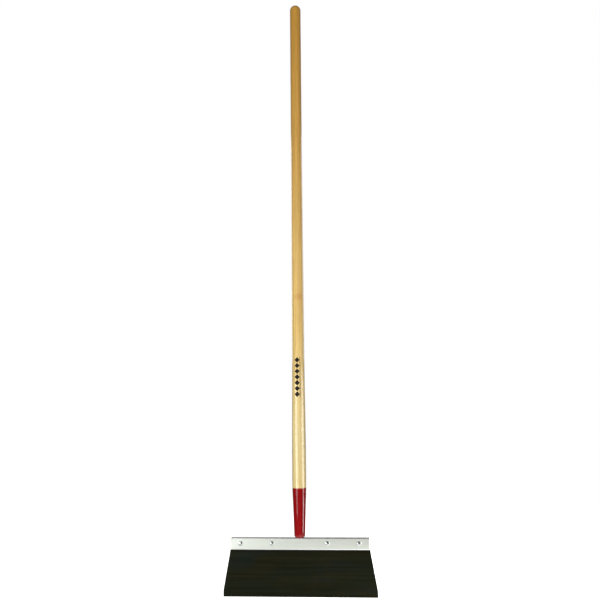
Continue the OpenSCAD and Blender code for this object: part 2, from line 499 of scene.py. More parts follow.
def end_grain_and_shade_of(tree):
    """1 where the surface faces up across the fibres, as on top of the dome, and 0 along the sides. It
    darkens the end grain and paints shade on the top of the dome.
    """
    upward = facing_of(tree)[2]
    return between(tree, upward, 0.35, 0.95)

# %% [markdown]
# ### The printed mark
#
# Handles of this kind carry a printed mark on the shaft. Here it is only a pattern: a column of
# black diamonds with a thin rule beside it. It is worked out from the height and from the arc
# length round the handle. A diamond is every point whose two distances from its middle, each over
# its half width, add up to less than one.

# %% Printed mark
MARK_LOW, MARK_HIGH = 0.4535, 0.5495
DIAMONDS = 7
DIAMOND_HALF = 6.6 * MM
SHAFT_R = 0.0155
mark_angle = math.radians(-97)
rule_angle = math.radians(-70)


def arc_from(tree, axes, angle):
    """How far round the handle a point is from an angle, in metres of arc on the shaft's own radius."""
    turn = calc(tree, "ARCTAN2", axes[1], axes[0])
    return calc(tree, "ABSOLUTE", times(tree, minus(tree, turn, angle), SHAFT_R))


def printed_mark(tree, where, fibre):
    """1 where there is ink. The ink is a little thin where the fibre noise is high."""
    axes = parts_of(tree, where)
    pitch = (MARK_HIGH - MARK_LOW) / DIAMONDS
    up = calc(tree, "FRACT", calc(tree, "DIVIDE", minus(tree, axes[2], MARK_LOW), pitch))
    up = times(tree, calc(tree, "ABSOLUTE", minus(tree, up, 0.5)), 2.1)
    side = calc(tree, "DIVIDE", arc_from(tree, axes, mark_angle), DIAMOND_HALF)
    diamond = between(tree, plus(tree, up, side), 1.04, 0.98)
    rule = between(tree, arc_from(tree, axes, rule_angle), 0.75 * MM, 0.6 * MM)
    inside = times(tree, calc(tree, "GREATER_THAN", axes[2], MARK_LOW),
                  calc(tree, "LESS_THAN", axes[2], MARK_HIGH))
    ink = times(tree, calc(tree, "MAXIMUM", diamond, rule), inside)
    return times(tree, ink, between(tree, fibre, 0.55, 0.8, 1.0, 0.8))


varnished_wood = make_varnished_wood()
print("material", varnished_wood.name, len(varnished_wood.node_tree.nodes), "nodes")

# %% [markdown]
# ## Red lacquer
#
# The dip coat is thick, glossy paint. Its look is in its reflections, so the colour is almost plain
# and the surface does the work: a low roughness, a faint orange peel from the solvent leaving, and
# slow vertical runs from the coat draining while the handle hung to dry.

# %% Lacquer
def make_red_lacquer():
    """Deep red gloss with orange peel, drain runs and a little dust."""
    material, tree, surface, where = start_material("red_lacquer", Specular_IOR_Level=0.55)
    clouds = noise(tree, where, 38.0, 3.0)
    colour = mixed(tree, clouds, (0.205, 0.0014, 0.0024, 1), (0.255, 0.0026, 0.0036, 1))
    thin = times(tree, edge_of(tree), 0.35)
    colour = mixed(tree, thin, colour, (0.46, 0.05, 0.02, 1))
    dust = dust_mask(tree, where, 0.1)
    colour = mixed(tree, dust, colour, (0.55, 0.45, 0.42, 1))
    tree.links.new(colour, surface.inputs["Base Color"])
    smudge = between(tree, noise(tree, where, 70.0, 4.0, 0.6), 0.35, 0.75, 0.05, 0.14)
    tree.links.new(smudge, surface.inputs["Roughness"])
    peel = noise(tree, where, 520.0, 1.0)
    runs = noise(tree, stretched(tree, where, (160.0, 160.0, 12.0)), 1.0, 1.0)
    height = plus(tree, times(tree, peel, 0.10), times(tree, runs, 0.8))
    emboss(tree, surface, 0.35, 0.12 * MM, height)
    return material


red_lacquer = make_red_lacquer()
print("material", red_lacquer.name)

# %% [markdown]
# ## Mill-finish aluminium
#
# An extrusion comes out of its die with fine lines that run its whole length, and nobody polishes
# them off. The lines are in the roughness and in the height, so that highlights break up into
# streaks. The sawn ends are different: a circular blade leaves wide arcs there, and a mask made
# from the normal puts them only on faces that look along the bar.

# %% Aluminium
def make_mill_aluminium():
    """Satin extruded aluminium with die lines, saw arcs on its ends, light scuffs and rubbed edges."""
    material, tree, surface, where = start_material("mill_aluminium", Metallic=1.0)
    lines = lines_along(tree, where, (1.3, 900.0, 900.0), 0.25)
    across = facing_of(tree)[0]
    sawn = between(tree, calc(tree, "ABSOLUTE", across), 0.7, 0.95)
    centred = wire(tree, "ShaderNodeMapping", {"Vector": where, "Location": (0.0, 0.12, -0.06)}).outputs[0]
    saw = {"Vector": centred, "Scale": 210.0, "Distortion": 0.6, "Detail": 2.0}
    arcs = wire(tree, "ShaderNodeTexWave", saw, wave_type="RINGS", rings_direction="X").outputs["Fac"]
    scuffs = noise(tree, stretched(tree, where, (60.0, 300.0, 220.0)), 1.0, 5.0, 0.7)
    scuff = between(tree, scuffs, 0.6, 0.78)
    wear = wear_mask(tree, where, 260.0, 0.45)
    cloud = noise(tree, where, 22.0, 3.0)
    colour = mixed(tree, cloud, (0.83, 0.86, 0.79, 1), (0.88, 0.91, 0.82, 1))
    colour = mixed(tree, times(tree, between(tree, lines["Fine"], 0.35, 0.7), 0.22), colour,
                   (0.66, 0.68, 0.66, 1))
    colour = mixed(tree, wear, colour, (0.95, 0.96, 0.95, 1))
    dust = dust_mask(tree, where, 0.22)
    colour = mixed(tree, dust, colour, (0.55, 0.54, 0.5, 1))
    tree.links.new(colour, surface.inputs["Base Color"])
    rough = between(tree, lines["Broad"], 0.25, 0.75, 0.33, 0.46)
    rough = plus(tree, rough, times(tree, scuff, 0.12))
    rough = plus(tree, rough, times(tree, dust, 0.4), clamp=True)
    tree.links.new(rough, surface.inputs["Roughness"])
    along = times(tree, lines["Fine"], minus(tree, 1.0, sawn))
    height = plus(tree, along, times(tree, arcs, times(tree, sawn, 1.4)))
    height = minus(tree, height, times(tree, scuff, 0.3))
    emboss(tree, surface, 0.45, 0.03 * MM, height)
    return material


mill_aluminium = make_mill_aluminium()
print("material", mill_aluminium.name)

# %% [markdown]
# ### Rivet aluminium
#
# A rivet is softer than the bar and is upset cold, which burnishes it. It is the same metal with no
# die lines, a lower roughness and small dents, so it catches sharper highlights than the back
# around it.

# %% Rivet aluminium
def make_rivet_aluminium():
    """Brighter, softer aluminium that a hammer or a press has burnished."""
    material, tree, surface, where = start_material("rivet_aluminium", Metallic=1.0)
    dents = noise(tree, where, 900.0, 3.0, 0.6)
    wear = wear_mask(tree, where, 700.0, 0.5)
    colour = mixed(tree, noise(tree, where, 300.0, 3.0), (0.56, 0.575, 0.56, 1), (0.70, 0.72, 0.69, 1))
    colour = mixed(tree, wear, colour, (0.93, 0.94, 0.93, 1))
    tree.links.new(colour, surface.inputs["Base Color"])
    tree.links.new(between(tree, dents, 0.3, 0.7, 0.17, 0.3), surface.inputs["Roughness"])
    emboss(tree, surface, 0.4, 0.05 * MM, dents)
    return material


rivet_aluminium = make_rivet_aluminium()
print("material", rivet_aluminium.name)

# %% [markdown]
# ## Blued spring steel
#
# Scraper blades are cold-rolled strip, hardened and blued, then wiped with oil. The metal is nearly
# black, with a green cast. Rolling leaves faint bands along the strip, and the oil film leaves
# brown and blue-grey clouds. The bevel is ground after bluing, so there the steel is bare and
# bright, with scratches square to the edge.

# %% Blued steel
BEVEL_TOP = 1.6 * MM
GROUND_T = 0.35 * MM


def make_blued_steel():
    """Dark rolled steel with oil clouds, rubbed edges, and a bare ground bevel on the rear of the edge."""
    material, tree, surface, where = start_material("blued_steel", Metallic=1.0)
    lines = lines_along(tree, where, (5.0, 60.0, 240.0), 0.8)
    axes = parts_of(tree, where)
    oil = noise(tree, stretched(tree, where, (9.0, 9.0, 26.0)), 1.0, 3.0, 0.55)
    cool = noise(tree, stretched(tree, where, (7.0, 30.0, 17.0)), 1.0, 2.0)
    oiled = between(tree, oil, 0.42, 0.62)
    colour = mixed(tree, oiled, (0.0135, 0.0155, 0.0085, 1), (0.0180, 0.0168, 0.0082, 1))
    colour = mixed(tree, between(tree, cool, 0.5, 0.68), colour, (0.0128, 0.0165, 0.0135, 1))
    band = between(tree, lines["Broad"], 0.3, 0.7, 0.83, 1.17)
    colour = mixed(tree, 1.0, colour, grey_of(tree, band), "MULTIPLY")
    rear = calc(tree, "GREATER_THAN", facing_of(tree)[1], 0.3)
    low = calc(tree, "LESS_THAN", axes[2], BEVEL_TOP)
    ground = times(tree, rear, low)
    scratches = noise(tree, stretched(tree, where, (2600.0, 60.0, 60.0)), 1.0, 3.0, 0.7)
    bare = mixed(tree, scratches, (0.36, 0.36, 0.35, 1), (0.62, 0.62, 0.60, 1))
    colour = mixed(tree, ground, colour, bare)
    wear = wear_mask(tree, where, 180.0, 0.3)
    colour = mixed(tree, times(tree, wear, 0.35), colour, (0.07, 0.07, 0.066, 1))
    dust = dust_mask(tree, where, 0.05)
    colour = mixed(tree, dust, colour, (0.16, 0.155, 0.14, 1))
    tree.links.new(colour, surface.inputs["Base Color"])
    rough = between(tree, lines["Fine"], 0.25, 0.75, 0.36, 0.5)
    rough = minus(tree, rough, times(tree, between(tree, oil, 0.5, 0.62), 0.08))
    tree.links.new(rough, surface.inputs["Roughness"])
    rolled = times(tree, lines["Fine"], minus(tree, 1.0, ground))
    height = plus(tree, rolled, times(tree, scratches, ground))
    emboss(tree, surface, 0.4, 0.03 * MM, height)
    return material


blued_steel = make_blued_steel()
print("material", blued_steel.name)

# %% [markdown]
# ## Plated steel
#
# The bolt and its nut are out of sight inside the tool, but they are real pieces and anyone may
# take the tool apart. Bright zinc has a faint yellow and blue bloom, drawn here with one slow
# noise.

# %% Zinc plate
def make_plated_steel():
    """Zinc-plated steel with a slight bloom and dull patches."""
    material, tree, surface, where = start_material("plated_steel", Metallic=1.0)
    bloom = noise(tree, where, 160.0, 3.0)
    colour = mixed(tree, bloom, (0.60, 0.62, 0.66, 1), (0.74, 0.72, 0.62, 1))
    wear = wear_mask(tree, where, 600.0, 0.4)
    colour = mixed(tree, wear, colour, (0.82, 0.82, 0.80, 1))
    tree.links.new(colour, surface.inputs["Base Color"])
    dull = noise(tree, where, 420.0, 4.0, 0.6)
    tree.links.new(between(tree, dull, 0.3, 0.75, 0.22, 0.42), surface.inputs["Roughness"])
    emboss(tree, surface, 0.3, 0.03 * MM, dull)
    return material


plated_steel = make_plated_steel()
print("material", plated_steel.name)

# %% [markdown]
# ## The turned handle
#
# The wood's radius at each height comes from the corners of the engineering mesh. Between its few
# levels the profile is straight, and a sanding belt would have rounded the joins, so the radius is
# averaged over a short stretch. The seat's quarter round and the dome are true arcs. A turned stick
# is never perfectly round once it has dried, so the surface falls up to a quarter of a millimetre
# short of the round, and unevenly.

# %% Radius of the wood
HANDLE_TURNS = 112
HALF_WINDOW = 8 * MM
wood = cad_points("handle")
from_axis = np.hypot(wood[:, 0], wood[:, 1])
outside = from_axis > bolt_r + 1 * MM
levels = np.unique(np.round(wood[outside, 2], 6))
level_radius = np.array([from_axis[outside & (np.abs(wood[:, 2] - z) < 2e-6)].max() for z in levels])
flat_r = level_radius[0]
tip_round = 5.6 * MM
tip_z = wood_low.z + tip_round
dome_r = np.interp(wood_high.z - 0.1, levels, level_radius)
dome_z = wood_high.z - dome_r
print(f"{len(levels)} levels, flat {flat_r / MM:.2f} mm, grip {dome_r / MM:.2f} mm")


def wood_radius(z):
    """Radius of the wood on its straight stretches: the engineering profile averaged over a window."""
    window = np.linspace(-HALF_WINDOW, HALF_WINDOW, 9)
    reach = np.clip(np.minimum(z - tip_z, dome_z - z), 0, HALF_WINDOW) / HALF_WINDOW
    samples = np.asarray(z)[..., None] + window * np.asarray(reach)[..., None]
    return np.interp(samples, levels, level_radius).mean(-1)


def ripple(turn, z):
    """How far dried wood has shrunk inside its turned round: an oval that turns slowly with height, two
    gentle waves, and an even loss as deep as all three together, so that no point stands proud."""
    oval = 0.07 * MM * (np.cos(2 * turn - 3.1 * z) - 1)
    wave = 0.03 * MM * (np.sin(3 * turn + 19.0 * z) + np.sin(47.0 * z + turn) - 2)
    return (oval + wave) * ease(z, tip_z, tip_z + 0.03) * (1 - ease(z, dome_z - 0.02, dome_z))


def tip_arc(radius, angle):
    """The quarter round at the seat: its centre plus the radius times the sine and less the cosine."""
    return np.stack([flat_r + radius * np.sin(angle), tip_z - radius * np.cos(angle)], axis=-1)

# %% Handle
def make_handle():
    """One closed profile turned about Z: down the bore, out along the seat, up the shaft, over the dome.

    The bore starts at a pole inside the wood. Each arc is its centre plus its radius times sine and
    cosine."""
    turns = turns_of(HANDLE_TURNS)
    bore_top = bolt_high.z + 2 * MM
    bore = [(bolt_r, bore_top), (bolt_r, bore_top - 20 * MM), (bolt_r, wood_low.z + 1 * MM),
            (bolt_r, wood_low.z + 0.1 * MM), (bolt_r + 0.1 * MM, wood_low.z)]
    seat = [(bolt_r + 1 * MM, wood_low.z), (flat_r - 0.5 * MM, wood_low.z)]
    angle = np.linspace(0, np.pi / 2, 14)
    tip = tip_arc(tip_round, angle)
    shaft_z = np.linspace(tip_z, dome_z, 440)[1:-1]
    shaft = np.stack([wood_radius(shaft_z), shaft_z], axis=-1)
    angle = np.append(np.linspace(0, np.pi / 2, 20)[:-1], math.radians(89.4))
    dome = np.stack([dome_r * np.cos(angle), dome_z + dome_r * np.sin(angle)], axis=-1)
    profile = np.vstack([bore, seat, tip, shaft, dome])
    radius = profile[:, :1] + ripple(turns, profile[:, 1:])
    return skin("turned_handle", around_z(radius, profile[:, 1], turns))


finish_piece(make_handle(), varnished_wood, "varnished_wood", "handle")

# %% [markdown]
# ## The dip coat
#
# The coat is a real shell a quarter of a millimetre thick, closed underneath the wood and open at
# the top. It follows the same radius and the same ripple as the wood. Two things give a dipped edge
# away: the line isn't quite level, and surface tension draws the paint into a thin start with a low
# roll just below it. A solidify modifier would give an even thickness, so the thickness is a
# formula instead.

# %% Coat
coat_t = wood_low.z - seat_z
coat_gap = 0.05 * MM


def dip_line(turn):
    """Height of the paint line: level to half a millimetre, with one slow and one quick wave."""
    return dip_high.z - 0.5 * MM + 0.3 * MM * np.cos(turn - 0.7) + 0.12 * MM * np.sin(3 * turn + 1.0)


def coat_thickness(turn, below):
    """Thickness at a distance below the line: it rises within a millimetre, rolls, then has slow runs."""
    start = 1 - np.exp(-below / (0.5 * MM))
    roll = 0.35 * np.exp(-(((below - 2.2 * MM) / (1.3 * MM)) ** 2))
    runs = 0.12 * np.sin(5 * turn + 0.8) * ease(below, 4 * MM, 30 * MM)
    return coat_t * start * (0.96 + roll + runs)


def make_coat():
    """A wall with two faces: outside it climbs to the line, inside it comes back down against the wood."""
    turns = turns_of(HANDLE_TURNS)
    share = np.linspace(0, 1, 60)[:, None] ** 0.75
    line = dip_line(turns)[None]
    climb = tip_z + (line - tip_z) * share
    climb_r = wood_radius(climb) + ripple(turns, climb)
    outer_r = climb_r + np.where(share < 1, coat_thickness(turns, line - climb), 0)
    settle = ease(climb, tip_z, tip_z + 4 * MM)
    outer_r = (climb_r + coat_t) * (1 - settle) + outer_r * settle
    angle = np.linspace(0, np.pi / 2, 14)[:-1]
    seat = np.array([(bolt_r + coat_gap, seat_z), (bolt_r + 1 * MM, seat_z)])
    outer_tip = tip_arc(tip_round + coat_t, angle)
    inner_tip = tip_arc(tip_round, angle)
    under = np.array([(bolt_r + coat_gap, wood_low.z), (bolt_r + 1 * MM, wood_low.z)])
    lower_out, lower_in = np.vstack([seat, outer_tip]), np.vstack([under, inner_tip])[::-1]
    rings = [around_z(lower_out[:, 0], lower_out[:, 1], turns),
             around_z(outer_r, climb, turns),
             around_z(climb_r[-2::-1], climb[-2::-1], turns),
             around_z(lower_in[:, 0], lower_in[:, 1], turns)]
    edge = [np.zeros((len(lower_out), HANDLE_TURNS)), np.exp(-(line - climb) / (0.6 * MM)),
            np.zeros((len(climb) - 1 + len(lower_in), HANDLE_TURNS))]
    return skin("dip_coat", np.vstack(rings), "loop", np.vstack(edge))


finish_piece(make_coat(), red_lacquer, "red_lacquer", "handle_dip")

# %% [markdown]
# ## The extruded back
#
# An extrusion is one outline pushed through a die, so it is modelled the same way: an outline with
# a rounding at every corner, carried along X. The outline is one loop, because the blade's slot
# opens into the channel above it. Each point also gets a tiny offset along its own normal, the same
# all along the bar, and those are the die lines. The last quarter of a millimetre at each end
# shrinks in, as a deburring tool would leave it.

# %% Outline with rounded corners
def rounded_outline(corners, radii, spacing):
    """Points, outward normals and edge wear round a closed outline that runs anticlockwise.

    The arc at a corner starts before it by the radius times the tangent of half the turning angle. Its
    centre stands the radius to one side of that start, and its points are the centre plus the radius times
    a spoke that turns through the whole angle. Between arcs the side is cut into equal steps."""
    corners = np.asarray(corners, float)
    forward = np.roll(corners, -1, axis=0) - corners
    forward /= np.linalg.norm(forward, axis=1, keepdims=True)
    points, normals, edge = [], [], []
    for k, corner in enumerate(corners):
        into, out = forward[k - 1], forward[k]
        bend = math.atan2(into[0] * out[1] - into[1] * out[0], into @ out)
        reach = radii[k] * math.tan(abs(bend) / 2)
        side = math.copysign(1.0, bend)
        centre = corner - into * reach + side * radii[k] * np.array([-into[1], into[0]])
        steps = np.linspace(0, bend, 7)
        spoke = -side * np.array([-into[1], into[0]])
        arc = np.stack([spoke[0] * np.cos(steps) - spoke[1] * np.sin(steps),
                        spoke[0] * np.sin(steps) + spoke[1] * np.cos(steps)], axis=-1)
        points.append(centre + radii[k] * arc)
        normals.append(side * arc)
        edge.append(np.full(7, 1.0 if bend > 0 else 0.0))
        following = corners[(k + 1) % len(corners)]
        next_out = forward[(k + 1) % len(corners)]
        next_bend = abs(math.atan2(out[0] * next_out[1] - out[1] * next_out[0], out @ next_out))
        finish = following - out * radii[(k + 1) % len(corners)] * math.tan(next_bend / 2)
        begin = corner + out * reach
        length = np.linalg.norm(finish - begin)
        t = np.linspace(0, 1, max(2, int(length / spacing)) + 1)[1:-1, None]
        points.append(begin + (finish - begin) * t)
        normals.append(np.repeat([[out[1], -out[0]]], len(t), axis=0))
        away = np.minimum(t[:, 0], 1 - t[:, 0]) * length
        edge.append(np.exp(-away / (0.35 * MM)) * 0.8)
    return np.vstack(points), np.vstack(normals), np.concatenate(edge)


nut_gap = 0.2 * MM
slot_half = blade_t / 2 + 0.05 * MM
channel_half = nut_high.y + nut_gap
channel_low, channel_top = nut_low.z - 2 * nut_gap, nut_high.z
lip_round, top_round = 2.4 * MM, 1.0 * MM
back_corners = [
    (jaw_y, lip_z), (jaw_y, seat_z), (-jaw_y, seat_z), (-jaw_y, lip_z),
    (-slot_half, lip_z), (-slot_half, channel_low), (-channel_half, channel_low),
    (-channel_half, channel_top), (channel_half, channel_top), (channel_half, channel_low),
    (slot_half, channel_low), (slot_half, lip_z)]
slot_round, channel_round = 0.28 * MM, 0.4 * MM
back_radii = [lip_round, top_round, top_round, lip_round] + [slot_round] * 2 + [channel_round] * 4
back_radii = np.array(back_radii + [slot_round] * 2)
outline, outline_normal, outline_edge = rounded_outline(back_corners, back_radii, 0.45 * MM)
print(len(outline), "points round the section")

# %% Extrude, saw and drill
def die_lines(count):
    """An offset for each point of the outline: smooth random, with deeper lines where the die is nicked."""
    draw = np.random.default_rng(5)
    fine = np.convolve(draw.normal(0, 1, count + 4), [0.2, 0.3, 0.3, 0.2], "same")[2:-2] * 0.006 * MM
    nicks = np.zeros(count)
    nicks[draw.integers(0, count, 12)] = -draw.uniform(0.01, 0.03, 12) * MM
    return fine + nicks


def peg(name, radius, start, end, across, along="Z"):
    """A plain round cutter along Y or Z, for a drilled hole. across is where its axis stands."""
    turns = turns_of(48)
    rings = around_z([radius, radius], [start, end], turns)
    if along == "Y":
        rings = rings[..., [1, 2, 0]]
    return skin(name, rings + np.asarray(across), "cap")


rivet_nodes = ["rivet_1", "rivet_2", "rivet_3", "rivet_4"]
rivet_boxes = [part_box(node) for node in rivet_nodes]
rivet_places = [(low.x / 2 + high.x / 2, 0.0, low.z / 2 + high.z / 2) for low, high in rivet_boxes]
shank_r = 2.4 * MM


def rivet_pegs(reach):
    """Four cutters, one for each rivet, reach metres to either side of the blade."""
    return [peg(f"rivet_hole_{k}", shank_r, -reach, reach, place, along="Y")
            for k, place in enumerate(rivet_places)]


def make_back():
    """Slices of the outline along X. The end slices shrink along their normals by a quarter circle."""
    offset = die_lines(len(outline)) * (1 - outline_edge)
    angle = np.linspace(0, np.pi / 2, 5)
    burr = 0.25 * MM
    near = np.stack([burr * (1 - np.sin(angle)), burr * (1 - np.cos(angle))], axis=-1)
    inner = np.array([0.6, 1.2, 3.0, 8.0]) * MM
    first_x = -back_x + np.concatenate([near[:, 1], inner])
    shrink = np.concatenate([near[:, 0], 0 * inner])
    middle_x = np.linspace(-back_x, back_x, 26)[2:-2]
    stations = np.concatenate([first_x, middle_x, -first_x[::-1]])
    shrinks = np.concatenate([shrink, 0 * middle_x, shrink[::-1]])
    depth = offset[None, :, None] - shrinks[:, None, None]
    section = outline[None] + outline_normal[None] * depth
    along = np.broadcast_to(stations[:, None, None], (*section.shape[:2], 1))
    rings = np.concatenate([along, section], axis=-1)
    from_end = back_x - np.abs(stations)
    edge = np.maximum(outline_edge[None], np.exp(-from_end / (0.4 * MM))[:, None])
    bar = skin("extruded_back", rings, "cap", edge)
    bolt_hole = peg("bolt_hole", bolt_r + 0.25 * MM, channel_top - 1 * MM, seat_z + 1 * MM, (0, 0, 0))
    return drill(bar, bolt_hole, *rivet_pegs(jaw_y + 1 * MM))


finish_piece(make_back(), mill_aluminium, "mill_aluminium", "blade_back")

# %% [markdown]
# ## The blade
#
# The blade is a thin plate, so its rings are very flat rectangles stacked up Z. Its half width
# changes with height: upright at the lower corners, then slanting in to the lips of the back, then
# the narrower tongue in the slot. Spring strip is never dead flat, and a slow wave of up to 0.3
# millimetres bends its reflections. The wave dies out before the slot, which grips the tongue flat.
# The ground bevel is on the rear.

# %% Blade
blade_points = cad_points("blade")


def widest_at(z):
    """Half the blade's width in the engineering model at one of its own heights."""
    return np.abs(blade_points[np.abs(blade_points[:, 2] - z) < 1e-5, 0]).max()


edge_half, tongue_half = blade_high.x, widest_at(blade_high.z)
shoulder_half = widest_at(lip_z)
corner_z = blade_points[np.abs(blade_points[:, 0]) > edge_half - 1e-6, 2].max()
halves = [round(v / MM, 1) for v in (corner_z, shoulder_half, tongue_half)]
print("corner height, shoulder and tongue half widths, in mm:", halves)


def half_width(z):
    """Half the blade's width at each height, with the lowest corners eased by a small arc."""
    heights = [0, corner_z - 1 * MM, corner_z + 1 * MM, lip_z - 0.6 * MM, lip_z - 0.1 * MM, blade_high.z]
    slope = (shoulder_half - edge_half) / (lip_z - corner_z)
    widths = [edge_half, edge_half, edge_half + slope * 1 * MM,
              shoulder_half - slope * 0.6 * MM, tongue_half, tongue_half]
    ease_r = 0.9 * MM
    cut = ease_r - np.sqrt(np.clip(ease_r**2 - np.clip(ease_r - z, 0, None) ** 2, 0, None))
    return np.interp(z, heights, widths) - cut


def strip_wave(x, z):
    """How far the strip bows off flat: three slow waves across and up, gone where the slot holds it."""
    wave = 0.16 * np.sin(21 * x + 9 * z) + 0.10 * np.sin(47 * x - 31 * z + 1.1)
    wave = wave + 0.05 * np.sin(96 * x + 60 * z)
    return wave * MM * (1 - ease(z, lip_z - 30 * MM, lip_z - 3 * MM)) * ease(z, 0, 12 * MM)


def make_blade():
    """Thin rectangles: the front from left to right, a rounded side, the rear from right to left, a side.

    The rear face stands at half the thickness, less on the bevel, where it falls in a straight line."""
    bevel = np.array([0, 0.05, 0.15, 0.4, 0.8, 1.2, 1.5, 1.6, 1.7, 2.2, 3.2, 5.0]) * MM
    z = np.concatenate([bevel, np.linspace(7 * MM, corner_z - 1 * MM, 4),
                        np.linspace(corner_z, lip_z - 2 * MM, 40),
                        lip_z + np.array([-1.2, -0.6, -0.45, -0.3, -0.1, 1, 5, 9]) * MM,
                        blade_high.z - np.array([3, 1, 0.2, 0]) * MM])
    half = half_width(z)
    across = np.concatenate([[-1, -0.9995, -0.998], np.linspace(-0.994, 0.994, 150), [0.998, 0.9995, 1]])
    side = np.linspace(-1, 1, 7)[1:-1]
    front_x = half[:, None] * across
    round_r = 0.16 * MM
    side_x = half[:, None] + round_r * (np.sqrt(1 - 0.9 * side**2) - 1)
    left_x = -side_x
    x = np.concatenate([front_x, side_x, front_x[:, ::-1], left_x], axis=1)
    rear = np.interp(z, [0, BEVEL_TOP], [GROUND_T - blade_t / 2, blade_t / 2])[:, None]
    front = np.full((len(z), 1), -blade_t / 2)
    middle, half_t = (front + rear) / 2, (rear - front) / 2
    y = np.concatenate([front + 0 * front_x, middle + half_t * side, rear + 0 * front_x,
                        middle + half_t * side[::-1]], axis=1)
    height = np.broadcast_to(z[:, None], x.shape)
    rings = np.stack([x, y + strip_wave(x, height), height], axis=-1)
    from_side = np.abs(half[:, None] - np.abs(x))
    edge = np.maximum(np.exp(-from_side / (0.5 * MM)), np.exp(-height / (0.6 * MM)))
    plate = skin("spring_blade", rings, "cap", edge * (height < lip_z))
    return drill(plate, *rivet_pegs(2 * MM))


finish_piece(make_blade(), blued_steel, "blued_steel", "blade")

# %% [markdown]
# ## The rivets
#
# A driven rivet has two different ends. The front head was formed by its maker: a clean dome with a
# thin rim. The rear head was hammered or pressed by the assembler: a squat barrel, slightly off
# centre and never quite round. Both are one profile turned about the rivet's own axis, and the rear
# gets a few random waves, drawn again for each rivet, so that no two match.

# %% Rivets
head_r = (rivet_boxes[0][1].x - rivet_boxes[0][0].x) / 2
head_h = -jaw_y - rivet_boxes[0][0].y
tail_h = rivet_boxes[0][1].y - jaw_y
tail_r = 3.7 * MM


def rivet_profile():
    """Radius and distance along the axis, from the front pole to the rear pole."""
    rim = 0.3 * MM
    angle = np.linspace(0.02, np.pi / 2, 24)
    dome = np.stack([head_r * np.sin(angle), -jaw_y - rim - (head_h - rim) * np.cos(angle)], axis=-1)
    under = [(head_r, -jaw_y - 0.08 * MM), (head_r - 0.08 * MM, -jaw_y), (shank_r + 0.2 * MM, -jaw_y),
             (shank_r, -jaw_y + 0.2 * MM), (shank_r, 0), (shank_r, jaw_y - 0.2 * MM),
             (shank_r + 0.2 * MM, jaw_y), (tail_r - 0.35 * MM, jaw_y)]
    swing = np.linspace(-0.95, 0.75, 9)
    barrel = np.stack([tail_r - 0.55 * MM * swing**2, jaw_y + tail_h * (0.42 + 0.42 * swing)], axis=-1)
    face = [(tail_r - 0.7 * MM, jaw_y + tail_h * 0.88), (tail_r - 1.1 * MM, jaw_y + tail_h * 0.97),
            (tail_r - 1.6 * MM, jaw_y + tail_h), (tail_r - 2.4 * MM, jaw_y + tail_h * 0.99),
            (0.5 * MM, jaw_y + tail_h * 0.965)]
    return np.vstack([dome, under, barrel, face])


def make_rivet(number, place):
    """The profile turned about Y at its place. Behind the back it is pushed out of round and off centre."""
    draw = np.random.default_rng(20 + number)
    turns = turns_of(72)
    profile = rivet_profile()
    radius, along = profile[:, :1], profile[:, 1:]
    hammered = ease(along, jaw_y + 0.1 * MM, jaw_y + 0.9 * MM)
    wobble = sum(draw.uniform(0.01, 0.03) * np.sin(n * turns + draw.uniform(0, 6)) for n in (2, 3, 5))
    blow = 0.10 * MM * draw.uniform(0.4, 1) * np.cos(turns - draw.uniform(0, 6))
    radius = radius * (1 + wobble * hammered)
    along = along - np.abs(blow) * hammered * (radius / tail_r)
    sideways = draw.uniform(-0.25, 0.25, 2) * MM
    x = radius * np.sin(turns) + sideways[0] * hammered
    z = radius * np.cos(turns) + sideways[1] * hammered
    rings = np.stack([x, along + 0 * x, z], axis=-1) + np.asarray(place)
    on_rim = np.exp(-np.abs(profile[:, :1] - head_r) / (0.25 * MM)) * (along < 0)
    return skin(f"driven_rivet_{number}", rings, "pole", on_rim + 0.5 * hammered * np.ones_like(turns))


for number, (node, place) in enumerate(zip(rivet_nodes, rivet_places), start=1):
    finish_piece(make_rivet(number, place), rivet_aluminium, "rivet_aluminium", node)

# %% [markdown]
# ## The hanger bolt and its nut
#
# A thread is a ring whose radius depends on both the height and the turn. One full turn moves the
# ridge up by one pitch, so the ridge is a function of height over pitch less the share of a turn.
# That makes a true helix with no sweep and no modifier. The wood thread has thin ridges and wide
# valleys, and the machine thread is an even zigzag. The nut uses the same function for its hole, a
# hair wider.

# %% Threads
lag_pitch, lag_depth = 3.2 * MM, 1.1 * MM
machine_pitch, machine_depth = 1.4 * MM, 0.7 * MM
collar_top = seat_z + 8 * MM


def ridge(turns, z, pitch, share):
    """A helix: 1 on the crest, falling straight to 0 at share of a pitch away, and 0 in the valley."""
    phase = np.mod(z / pitch - turns / (2 * np.pi), 1.0)
    return np.clip(1 - np.abs(phase - 0.5) / share, 0, 1)


def make_bolt():
    """Rings up Z: machine thread, plain collar, then a wood thread that tapers to a point."""
    turns = turns_of(64)
    z = np.linspace(bolt_low.z, bolt_high.z, 430)[:, None]
    machine = bolt_r - machine_depth * (1 - ridge(turns, z, machine_pitch, 0.5))
    point = ease(bolt_high.z - z, 0, 9 * MM)
    core = (bolt_r - lag_depth) * np.sqrt(point)
    lag = core + lag_depth * ridge(turns, z, lag_pitch, 0.24) * ease(bolt_high.z - z, 0.5 * MM, 7 * MM)
    into_collar = ease(z, seat_z - 1 * MM, seat_z)
    out_of_collar = ease(z, collar_top, collar_top + 2.5 * MM)
    radius = machine * (1 - into_collar) + bolt_r * into_collar
    radius = radius * (1 - out_of_collar) + lag * out_of_collar
    start = ease(z, bolt_low.z, bolt_low.z + 1 * MM)
    radius = np.minimum(radius, bolt_r - machine_depth + start * machine_depth)
    radius = np.maximum(radius, 0.15 * MM)
    return skin("hanger_bolt_turned", around_z(radius, z[:, 0], turns))


